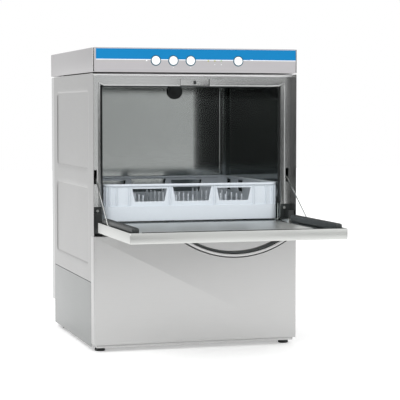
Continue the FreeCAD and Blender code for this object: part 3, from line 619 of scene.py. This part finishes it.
# the lintel's edge is turned tighter than the jambs' edges
ratio = jambs["topRound"] / jambs["round"]
top[1:-1, -10, 2] = openTop + jambs["latchSpan"][0]
top[1:-1, -9:-1, 2] = openTop + d[None, -9:-1] * ratio
top[1:-1, -9:-1, 1] = faceY + (depth[None, -9:-1] - faceY) * ratio
top[0, :, 0] -= d
top[-1, :, 0] += d
dip = (np.abs(overhead - jambs["offset"])[:, None] < jambs["recess"]
       + 0.5) & (d[None] < jambs["recessTall"])
top[:, :, 1] += np.where(dip, jambs["recessDeep"], 0)
right = left[::-1] * np.array((-1, 1, 1))
archPoints = np.concatenate([left, top, right])
cell = (archPoints[1:, 1:] + archPoints[:-1, :-1]) / 2
outward = (d[1:] + d[:-1]) / 2
inSlot = (cell[:, :, 2] > jambs["slot"][0]) & (cell[:, :, 2] < jambs["slot"][1]) \
    & (np.abs(cell[:, :, 0]) > openHalf) & (outward[None] > jambs["slotSpan"][0]) \
    & (outward[None] < jambs["slotSpan"][1])
inLatch = (np.abs(cell[:, :, 0] - jambs["offset"]) < jambs["latch"]) \
    & (np.abs(cell[:, :, 2] - openTop - sum(jambs["latchSpan"]) / 2) < np.ptp(jambs["latchSpan"]) / 2)
arch = surface(archPoints, keep=~(inSlot | inLatch))
piece("doorFrame", [arch], "frameSteel", "cabinet", ["front_frame"], closed=False,
      wall=jambs["wall"])

rail = {"deep": 11.0, "tall": 8.0, "centre": (34.3, 748.2), "shadeLevel": 743.4}
railLine = [(x, front + rail["centre"][0], rail["centre"][1]) for x in (-halfWide + 1.4, halfWide - 1.4)]
# the rail takes the near-white steel: painted highlight
piece("dripRail", [swept(roundBar(rail["deep"], rail["tall"], 24, 2.6), railLine, (0, 0, 1))], "railHighlightSteel",
      "cabinet")
# a thin black bar on the lintel just under the rail: painted shadow of the rail's lip
railShadowPath = [(x, faceY - 0.2, rail["shadeLevel"]) for x in (-halfWide + 1.4, halfWide - 1.4)]
piece("railShadowLine", [swept(roundBar(0.8, 1.1, 8, 2), railShadowPath, (0, 0, 1))], "blackSteel", "cabinet")
# a thin black line round the pressed latch recess: painted shade along its step
latchShadePath = outlinePath(rectangle(-jambs["recess"], openTop + 1.2, jambs["recess"], openTop + 20.3), 0,
                         1.2, 0)[:, [0, 2, 1]] \
    + np.array((jambs["offset"], faceY - 0.1, 0))
piece("latchShadeLine", [swept(roundBar(1.8, 1.2, 8, 2), latchShadePath, (0, 1, 0), closed=True)], "blackPlastic",
      "cabinet")
latchAt = openTop + sum(jambs["latchSpan"]) / 2
latchRim = roundOutline(rectangle(-jambs["latch"] - 0.3, latchAt - 5.3, jambs["latch"] + 0.3,
    latchAt + 5.3), 0, 0.8, 4)
latchPath = np.c_[latchRim[:, 0] + jambs["offset"], np.full(len(latchRim), faceY + 2.2), latchRim[:, 1]]
latchBack = plate((jambs["offset"] - 3.9, jambs["offset"] + 3.9), (faceY + 1.9, faceY + 2.7),
                  (latchAt - 4.9, latchAt + 4.9), "XZ", 0.2, 0.4)
piece("latchMouth", [swept(roundBar(1.4, 1.6, 8, 2), latchPath, (0, 1, 0), closed=True), latchBack],
      "blackPlastic", "cabinet")


def uPath(half, top, foot, y, bend, steps=6):
    t = np.linspace(0, math.pi / 2, steps)
    leftCorner = np.c_[-half + bend * (1 - np.cos(t)), np.full(steps, y), top - bend + bend * np.sin(t)]
    leftLeg = np.c_[np.full(12, -half), np.full(12, y), np.linspace(foot, top - bend - 2, 12)]
    leftSide = np.r_[leftLeg, leftCorner]
    return np.r_[leftSide, leftSide[::-1] * np.array((-1, 1, 1))]


seal = {"wide": 3.0, "deep": 9.0, "lipWide": 1.4}
sealY = (sealLow[1] + sealHigh[1]) / 2
piece("mouthSeal", [swept(roundBar(seal["wide"], seal["deep"], 16, 2.4),
                          uPath(openHalf - 1.5, openTop - 1.5, sealLow[2], sealY, 3), (0, 1, 0)),
                    swept(roundBar(seal["lipWide"], 3, 10, 2),
                          uPath(openHalf - 0.7, openTop - 0.7, sealLow[2], sealHigh[1] + 2, 3), (0, 1, 0))],
      "blackRubber", "cabinet", ["opening_seal"])

screwLow, screwHigh = edges("frame_screws")
screwHead = [(0.01, -0.25), (1.1, -0.4), (1.5, -1.0), (3.2, -0.95), (3.8, -0.4), (3.9, 0), (3.9, 0.6),
             (0.01, 0.6)]
screwSpots = [(sign * (screwHigh[0] - 3.8), faceY, (screwLow[2] + screwHigh[2]) / 2) for sign in (-1, 1)]
screwSpots += [(sign * 267.5, front + 41.5, 379.8) for sign in (-1, 1)]
piece("jambScrews", [turned(screwHead, spot, "Y", 20) for spot in screwSpots], "zincSteel", "cabinet",
      ["frame_screws"])
washer = [(3.4, 0.6), (3.6, -0.5), (4.6, -0.6), (5.2, -0.2), (5.3, 0.6)]
t = np.linspace(0, 2 * math.pi, 28, endpoint=False)
washers = []
for x, y, z in screwSpots[:2]:
    r, h = np.array(washer)[:, 0, None], np.array(washer)[:, 1, None]
    washers.append(surface(np.stack([x + r * np.cos(t), y + h + 0 * t, z + r * np.sin(t)], 2), wrapU=True,
        wrapV=True))
piece("screwWashers", washers, "blackPlastic", "cabinet")
slotCentre = openHalf + sum(jambs["slotSpan"]) / 2
rings = []
for sign in (-1, 1):
    low, high = jambs["slot"]
    around = roundOutline(rectangle(sign * slotCentre - 4.4, low + 0.2, sign * slotCentre + 4.4,
        high - 0.2), 0, 2.5, 5)
    rings.append(swept(roundBar(0.5, 3, 8, 3), np.c_[around[:, 0], np.full(len(around), faceY + 1.4),
        around[:, 1]], (0, 1, 0), closed=True))
    rings.append(turned([(0.01, -0.8), (1.6, -0.8), (2.0, 0), (1.6, 2), (0.01, 2)],
                        (sign * (slotCentre - 1.6), faceY + 1.4, low + 6), "Y", 18))
piece("stayGuideInserts", rings, "blackPlastic", "cabinet", ["stay_guides"])
print("door frame done")

# wash chamber: one shell seen from inside, its front cells left open between the sill and the lintel
tankLow, tankHigh = edges("wash_tank")
chamber = {"corner": 25.0, "sill": 346.0, "fold": 6.0, "wall": 1.2}
floorZ, roofZ = tankLow[2] + 1.5, tankHigh[2] - 1.5
fold = chamber["fold"]
walls = [(fold * (1 - math.sin(a)), floorZ + fold * (1 - math.cos(a))) for a in roundOver]
walls += [(0, chamber["sill"]), (0, (chamber["sill"] + openTop) / 2), (0, openTop)]
walls += [(fold * (1 - math.cos(a)), roofZ - fold * (1 - math.sin(a))) for a in roundOver]
chamberBox = rectangle(-openHalf, front + 61.5, openHalf, tankHigh[1] - 1.5)
ring = [np.c_[roundOutline(chamberBox, inset, chamber["corner"], 8), np.full(32, height)] for inset,
        height in walls]
shellPoints = np.stack(ring)
shellPoints[:, :, 1] = np.where(shellPoints[:, :, 1] < front + 61.5 + chamber["corner"], front + 60.5,
    shellPoints[:, :, 1])
shellPoints[:, :, 0] = np.where(shellPoints[:, :, 1] < front + 61,
    np.sign(shellPoints[:, :, 0]) * openHalf, shellPoints[:, :, 0])
keep = np.ones((len(walls) - 1, 32), bool)
heights = np.array([w[1] for w in walls])
keep[(heights[:-1] >= chamber["sill"]) & (heights[1:] <= openTop), 7] = False
lining = surface(shellPoints, wrapV=True, capStart=True, capEnd=True, keep=keep, flip=True)
piece("chamberLining", [lining], "chamberSteel", "cabinet", ["wash_tank"], closed=False,
      wall=chamber["wall"])
piece("chamberSill", [plate((-openHalf, openHalf), (front + 41.5, front + 60),
    (tankLow[2], chamber["sill"]), "YZ", 1, 3),
                      *[plate(sorted((sign * openHalf, sign * (openHalf + 1.5))),
                          (front + 41.5, front + 62), (chamber["sill"], 391), "YZ", 0.3, 0.5)
                        for sign in (-1, 1)]], "chamberSteel", "cabinet")
capLow, capHigh = edges("vent_cap")
capAt = ((capLow[0] + capHigh[0]) / 2, 0, (capLow[2] + capHigh[2]) / 2)
capFace = capLow[1]
capShape = [(0.01, capFace + 0.8), (15, capFace + 0.4), (19, capFace), (21.5, capFace + 1),
            (22.5, capFace + 3), (22.5, capFace + 11),
            (21, capFace + 12), (17, capFace + 12), (17, capHigh[1]), (0.01, capHigh[1])]
capRibCount = 24
ribSpots, ribFaces = plate((22.1, 22.9), (capFace + 3, capFace + 11), (-1, 1), "XY", 0.2, 0.3)
turnedRibs = []
for k in range(capRibCount):
    a = 2 * math.pi * k / capRibCount
    x = ribSpots[:, 0] * math.cos(a) - ribSpots[:, 2] * math.sin(a)
    z = ribSpots[:, 0] * math.sin(a) + ribSpots[:, 2] * math.cos(a)
    turnedRibs.append((np.stack([x + capAt[0], ribSpots[:, 1], z + capAt[2]], 1), ribFaces))
piece("ventCap", [turned(capShape, capAt, "Y", 48), *turnedRibs], "blackPlastic", "cabinet", ["vent_cap"])

# spray arms: a flat tube with rounded ends, a hub round the stem and a row of raised jets
arms = {"lower_wash": (0.35, 7), "lower_rinse": (0.25, 9), "upper_wash": (0.35, 7), "upper_rinse": (0.2, 9)}


def sprayArm(name, soft, jets):
    low, high = edges(f"{name}_arm")
    middleY = (low[1] + high[1]) / 2
    wide = 44 if "wash" in name else 22
    upward = name.startswith("lower")
    barLow, barHigh = {"lower_wash": (302, 320), "lower_rinse": (326, 333), "upper_wash": (733, 743),
                       "upper_rinse": (726, 730.5)}[name]
    soft = soft * (barHigh - barLow)
    bar = pan(rectangle(low[0], middleY - wide / 2, high[0], middleY + wide / 2),
              plateProfile(barLow, barHigh, soft), "XY", wide / 2 - 0.6, 9)
    hubR = (high[1] - low[1]) / 2
    hub = [(12.1, low[2]), (12.1, high[2]), (hubR - 2, high[2]), (hubR, high[2] - 1.5),
           (hubR, low[2] + 1.5), (hubR - 2, low[2])]
    hubGrid = np.array(hub)
    t = np.linspace(0, 2 * math.pi, 36, endpoint=False)
    hubPoints = np.stack([hubGrid[:, 0, None] * np.cos(t), middleY + hubGrid[:, 0, None] * np.sin(t),
                          hubGrid[:, 1, None] + 0 * t], 2)
    face, rise = (barHigh, 1) if upward else (barLow, -1)
    nozzle = [(4.5, 0), (4.2, 0.9), (2.2, 1.2), (1.6, 0.7), (0.01, 0.6)]
    spread = np.linspace(-high[0] + 26, high[0] - 26, jets * 2)
    nozzles = [turned([(r, face + rise * h) for r, h in nozzle], (x, middleY, 0), "Z", 12) for x in spread
               if abs(x) > hubR + 6]
    piece(f"{name}Tube".replace("_w", "W").replace("_r", "R"),
          [bar, surface(hubPoints, wrapU=True, wrapV=True), *nozzles],
          "armSteel", name, [f"{name}_arm"])


for name, (soft, jets) in arms.items():
    sprayArm(name, soft, jets)
print("chamber and arms done")

# door: a notched tray whose root wall is cut down, so that the rack runs out over the inner panel
doorLow, doorHigh = edges("door_outer_skin")
door = {"notch": 30.0, "notchAt": -34.0, "bend": 2.0, "bed": 347.0, "wall": 1.2, "rootClear": 18.0}
halfDoor, step, notchY = doorHigh[0], door["notch"], front + door["notchAt"]
doorCorners = [(-halfDoor, doorLow[1]), (halfDoor, doorLow[1]), (halfDoor, notchY),
               (halfDoor - step, notchY), (halfDoor - step, doorHigh[1]),
               (step - halfDoor, doorHigh[1]), (step - halfDoor, notchY), (-halfDoor, notchY)]
doorProfile = [(door["bend"] * (1 - math.sin(a)), doorLow[2] + door["bend"] * (1 - math.cos(a)))
               for a in roundOver]
doorProfile += [(0, doorHigh[2] - 0.6), (0.25, doorHigh[2]), (door["wall"], doorHigh[2]),
                (door["wall"], door["bed"] - 0.8)]
skinPoints, skinFaces = pan(doorCorners, doorProfile, "XY", 2.1, 5)
rootEdge = (skinPoints[:, 1] > front + door["rootClear"]) & (skinPoints[:, 2] > door["bed"])
skinPoints[:, 2] = np.where(rootEdge, door["bed"], skinPoints[:, 2])
piece("doorSkin", [(skinPoints, skinFaces)], "doorSteel", "door", ["door_outer_skin"])

panelX = np.unique(np.r_[np.linspace(-halfDoor + 1.3, halfDoor - 1.3, 30), step - halfDoor + 1.3,
                         halfDoor - step - 1.3, -240, 240, -234, 234])
panelY = np.unique(np.r_[np.linspace(doorLow[1] + 1.3, doorHigh[1] - 1.3, 30), notchY - 1.3,
                         doorLow[1] + 22, doorLow[1] + 28])
px, py = np.meshgrid(panelX, panelY, indexing="ij")
dish = pressed(px, py, (-240, 240, doorLow[1] + 22, doorHigh[1] - 12), 6, 16)
keep = (np.abs(panelX[:-1] + panelX[1:])[:, None] / 2 < halfDoor - step - 1.3) | (((panelY[:-1]
    + panelY[1:]) / 2)[None] < notchY - 1.3)
piece("doorInnerPanel", [surface(np.stack([px, py, door["bed"] - 0.9 * dish], 2), keep=keep)],
      "chamberSteel", "door", ["door_inner_panel"],
      closed=False, wall=0.6)

low, high = edges("door_gasket")
piece("doorGasket", [swept(roundBar(high[1] - low[1], high[2] - low[2], 16, 2.8),
                           [(x, (low[1] + high[1]) / 2, (low[2] + high[2]) / 2)
                               for x in (low[0], high[0])], (0, 0, 1))],
      "blackRubber", "door", ["door_gasket"])

# side guides: long black bars with a rounded nose and shallow ribs along the top
guideLow, guideHigh = edges("door_guides")
guide = {"near": 255.5, "far": 274.5, "root": -36.0, "top": 365.0, "ribs": 5}
guideParts = []
for sign in (-1, 1):
    x0, x1 = sorted((sign * guide["near"], sign * guide["far"]))
    guideParts.append(plate((x0, x1), (guideLow[1], front + guide["root"]),
        (door["bed"], guide["top"] - 0.6), "XY", 3.2, 8.5))
    for k in range(guide["ribs"]):
        x = x0 + 3.6 + k * (x1 - x0 - 7.2) / (guide["ribs"] - 1)
        guideParts.append(plate((x - 0.8, x + 0.8), (guideLow[1] + 9, front + guide["root"] - 6),
            (guide["top"] - 2, guide["top"]), "XY", 0.4, 0.7))
    pinEnds = sorted((sign * 274, sign * (guideHigh[0])))
    guideParts.append(turned([(0.01, pinEnds[0]), (2, pinEnds[0]), (2, pinEnds[1]), (0.01, pinEnds[1])],
        (0, front - 130, 350.8), "X", 16))
piece("doorGuides", guideParts, "blackPlastic", "door", ["door_guides"])

# handle: an arc hung under the door, its band carried along a circle; radius from half the chord and the drop
handleLow, handleHigh = edges("door_handle")
handle = {"band": 11.0, "liner": 5.5, "edge": 1.3}
drop, chord = handleHigh[2] - handleLow[2] + 0.2, (handleHigh[0] - handleLow[0]) / 2
radius = (chord ** 2 + drop ** 2) / (2 * drop)
handleY = (handleLow[1] + handleHigh[1]) / 2
handleDeep = handleHigh[1] - handleLow[1]
centreZ = handleLow[2] + radius


def bow(name, inner, outer, deep, look, nodes):
    line = radius - (inner + outer) / 2
    reach = math.acos(min(1, (centreZ - doorLow[2] - 1) / line))
    a = np.linspace(-reach, reach, 49)
    path = np.c_[line * np.sin(a), np.full(49, handleY), centreZ - line * np.cos(a)]
    piece(name, [swept(roundBar(outer - inner, deep, 20, 4), path, (0, 1, 0))], look, "door", nodes)


bow("handleBand", handle["edge"], handle["band"], handleDeep, "brushedSteel", ["door_handle"])
bow("handleLiner", handle["band"], handle["band"] + handle["liner"], handleDeep - 1.5, "blackPlastic",
    ["handle_liner"])
# a thin black strip along the bow's outer edge: painted shade
bow("handleShadeEdge", 0, handle["edge"], handleDeep - 1, "blackSteel", [])
print("door done")

# rack: bands and a rim carried round a square with rounded corners, window walls, ribs, a floor grid and pegs
rackLow, rackHigh = edges("rack_basket")
rack = {"corner": 26.0, "band": 39.0, "rim": 7.0, "wallInset": 4.5, "wall": 2.6, "pitch": 48.0,
        "pegTop": 416.0, "cornerLift": 2.0,
        "windows": ((-120.6, 49, 41.5, 403, 438), (0, 55, 47.5, 403, 442.5), (120.6, 49, 41.5, 403, 438)),
        "slots": ((-196.5, 20, 18, 409, 442), (-82, 24, 22, 409, 442), (82, 24, 22, 409, 442),
                  (196.5, 20, 18, 409, 442)),
        "ribs": (-214, -177.6, -63.7, 63.7, 177.6, 214), "sideRibs": (-160, -120, -45, 45, 120, 160),
        "cornerTurns": (22, 45, 68)}
base, rimTop = rackLow[2], rackHigh[2]
rackMiddle = (rackLow + rackHigh) / 2
half = (rackHigh[0] - rackLow[0]) / 2
square = rectangle(rackLow[0], rackLow[1], rackHigh[0], rackHigh[1])


def ringBar(width, height, inset, level, power=5, lift=0.0):
    path = outlinePath(square, inset, rack["corner"] - inset, level)
    away = np.minimum(half - np.abs(path[:, 0] - rackMiddle[0]),
                      99) + np.minimum(half - np.abs(path[:, 1] - rackMiddle[1]), 99)
    path[:, 2] += lift * (1 - smoothStep(away, 20, 70))
    return swept(roundBar(width, height, 20, power), path, (0, 0, 1), closed=True)


def windowWall(windows, direction, sign):
    marks = sorted([w[0] - max(w[1], w[2]) for w in windows] + [w[0] + max(w[1], w[2]) for w in windows])
    edgesS = [-half + rack["corner"]] + marks + [half - rack["corner"]]
    zBreaks = sorted({base + rack["band"] - 2, rimTop - 6} | {w[3] for w in windows}
                     | {w[4] for w in windows})
    z = np.array(zBreaks)
    columns = []
    for k, mark in enumerate(edgesS):
        owner = [w for w in windows if abs(abs(mark - w[0]) - max(w[1], w[2])) < 1e-6]
        if owner:
            c, wideTop, wideLow, z0, z1 = owner[0]
            t = np.clip((z - z0) / (z1 - z0), 0, 1)
            columns.append(c + np.sign(mark - c) * (wideLow + (wideTop - wideLow) * t))
        else:
            columns.append(np.full(len(z), mark))
    s = np.stack(columns)
    zz = np.broadcast_to(z, s.shape)
    flatPoints = np.full(s.shape, sign * (half - rack["wallInset"]))
    order = [s + rackMiddle[0], flatPoints + rackMiddle[1],
             zz] if direction == "X" else [flatPoints + rackMiddle[0], s + rackMiddle[1], zz]
    middleS, middleZ = (s[1:, 1:] + s[:-1, :-1]) / 2, (zz[1:, 1:] + zz[:-1, :-1]) / 2
    keep = np.ones(middleS.shape, bool)
    for c, wideTop, wideLow, z0, z1 in windows:
        keep &= ~((np.abs(middleS - c) < wideTop - 4) & (middleZ > z0) & (middleZ < z1))
    return surface(np.stack(order, 2), keep=keep, flip=(sign > 0) == (direction == "X"))


rings = [ringBar(3.4, rack["band"], 1.9, base + rack["band"] / 2, 9),
         ringBar(5.5, 3.0, 3.0, base + rack["band"] + 0.6, 3),
         ringBar(7.0, rack["rim"], 3.7, rimTop - rack["rim"] / 2 - 0.4, 3.2, rack["cornerLift"]),
         ringBar(9.0, 3.4, 6.2, base + 2.2, 3)]
piece("rackBands", rings, "rackPlastic", "rack", ["rack_basket"])
wallParts = [windowWall(rack["windows"], "X", sign)
             for sign in (-1, 1)] + [windowWall(rack["slots"], "Y", sign) for sign in (-1, 1)]
piece("rackWalls", wallParts, "rackPlastic", "rack", closed=False, wall=rack["wall"],
      bevel=1.1)
cornerPosts = [swept(roundBar(2.6, rimTop - base - 8, 12, 6),
                     np.c_[arc, np.full(len(arc), base + (rimTop - base) / 2)], (0, 0, 1))
               for arc in np.split(roundOutline(square, rack["wallInset"] + 1.3,
                   rack["corner"] - rack["wallInset"] - 1.3, 8), 4)]
ribBar = roundBar(3.6, 6.4, 8, 2.6)
ribs = []
for sign in (-1, 1):
    for s in rack["ribs"]:
        spot = (rackMiddle[0] + s, rackMiddle[1] + sign * (half - 3.6))
        ribs.append(swept(ribBar, [(*spot, base + rack["band"]), (*spot, rimTop - 6)], (0, 1, 0)))
    for s in rack["sideRibs"]:
        spot = (rackMiddle[0] + sign * (half - 3.6), rackMiddle[1] + s)
        ribs.append(swept(ribBar, [(*spot, base + rack["band"]), (*spot, rimTop - 6)], (0, 1, 0)))
for quarter in range(4):
    toX, toY = ((1, 1), (-1, 1), (-1, -1), (1, -1))[quarter]
    for turn in np.radians(rack["cornerTurns"]):
        away = np.array((toX * math.cos(turn), toY * math.sin(turn)))
        spot = rackMiddle[:2] + (half - rack["corner"]) * np.array((toX,
            toY)) + (rack["corner"] - 3.6) * away
        ribs.append(swept(ribBar, [(*spot, base + rack["band"]), (*spot, rimTop - 6)], (*away, 0)))
piece("rackRibs", ribs + cornerPosts, "rackPlastic", "rack")
grid = []
slat = roundBar(7.0, 4.0, 8, 3)
for k in range(-5, 5):
    offset = rack["pitch"] * (k + 0.5)
    grid.append(swept(slat, [(rackMiddle[0] + offset, rackMiddle[1] + e * (half - 4), base + 2.4)
        for e in (-1, 1)], (0, 0, 1)))
    grid.append(swept(slat, [(rackMiddle[0] + e * (half - 4), rackMiddle[1] + offset, base + 2.6)
        for e in (-1, 1)], (0, 0, 1)))
piece("rackFloor", grid, "rackPlastic", "rack")
pegShape = [(4.2, base + 3), (3.4, base + 8), (2.7, base + 40), (2.3, rack["pegTop"] - 2),
            (1.5, rack["pegTop"] - 0.4), (0.01, rack["pegTop"])]
pegs = [turned(pegShape, (rackMiddle[0] + rack["pitch"] * (i + 0.5),
                          rackMiddle[1] + rack["pitch"] * (j + 0.5), 0), "Z", 8)
        for i in (-4, -3, -1, 0, 2, 3) for j in range(-4, 4)]
piece("rackPegs", pegs, "rackPlastic", "rack", ["rack_pegs"])
print("rack done")

# CAD parts whose shape is already right keep it and take a finish
carried = {"control_board": "boardGreen", "stay_rod_left": "rodSteel", "stay_rod_right": "rodSteel",
           "hinge_brackets": "blackSteel",
           "hinge_liners": "blackPlastic", "door_hinge_arms": "blackSteel", "door_catch": "blackPlastic",
           "rack_runners": "chamberSteel",
           "tank_filters": "armSteel", "overflow_standpipe": "zincSteel", "heating_element": "zincSteel",
           "lower_arm_stem": "armSteel",
           "upper_arm_stem": "armSteel", "arm_caps": "blackPlastic", "pump_volute": "blackPlastic",
           "pump_motor": "castMetal",
           "pump_rotor": "castMetal", "suction_hose": "blackRubber", "lower_feed_pipe": "greyPipe",
           "upper_feed_pipe": "greyPipe",
           "boiler": "chamberSteel", "inlet_valve": "blackPlastic"}
for node, look in carried.items():
    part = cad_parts[node]
    for holder in part.material_slots:
        holder.material = finishes[look]

floorMesh = bpy.data.meshes.new("paleFloor")
reach = studio["floorSize"] / 2
floorMesh.from_pydata([(-reach, -reach, 0), (reach, -reach, 0), (reach, reach, 0), (-reach, reach, 0)], [],
                      [(0, 1, 2, 3)])
floorMesh.materials.append(finish("floorPaint", studio["floorTone"], 0.7, 0, (1, 1, 1), 0.01, 0.01, 40,
    glow=(1, 1, 1)))
floor = bpy.data.objects.new("paleFloor", floorMesh)
bpy.context.collection.objects.link(floor)

print("finished,", len(made), "pieces")
